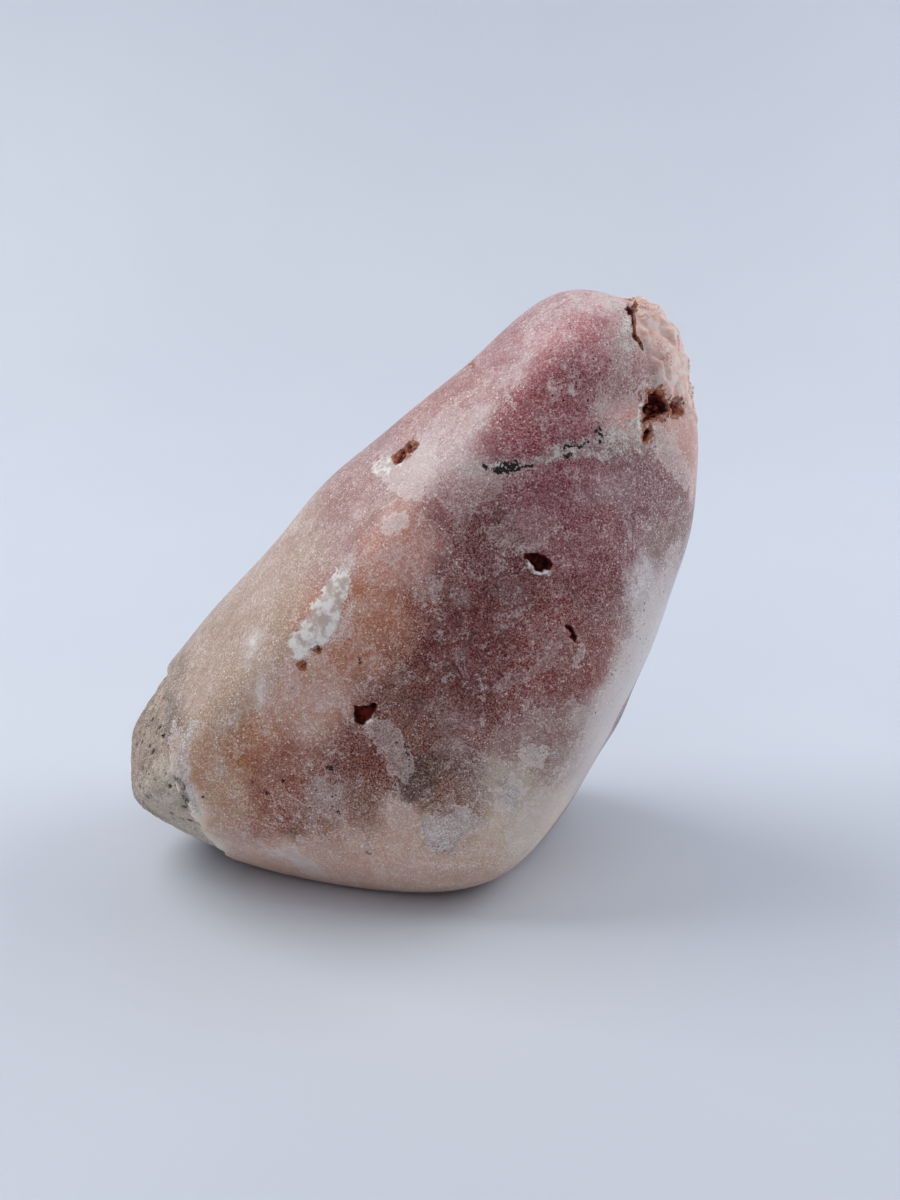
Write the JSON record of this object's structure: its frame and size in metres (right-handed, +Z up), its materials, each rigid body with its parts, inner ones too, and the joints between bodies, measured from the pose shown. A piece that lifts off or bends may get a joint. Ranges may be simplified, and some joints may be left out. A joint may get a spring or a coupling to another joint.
{
  "type": "pink amethyst freeform",
  "caption": "Leaning polished stone of pink amethyst with a sawn flat base, a rough crusted shoulder, a vug lined with crystals, and an unpolished end.",
  "frame": {"origin": "middle of the bounding box in plan, on the sawn base that the stone rests on", "axes": "+Z up; -Y is the way the broad front looks; +X towards the stone's right end, the way it leans"},
  "size_m": [0.142, 0.0864, 0.1448],
  "materials": {
    "polished_stone": "mottled pink, maroon and tan sugary quartz, satin to gloss polish; rough crust and unpolished end are matt",
    "vug_crystals": "small dark maroon quartz crystals with iron stain, glossy faces"
  },
  "bodies": {
    "root": {"stone": "polished_stone", "vug_crystals": "vug_crystals"}
  },
  "joints": []
}
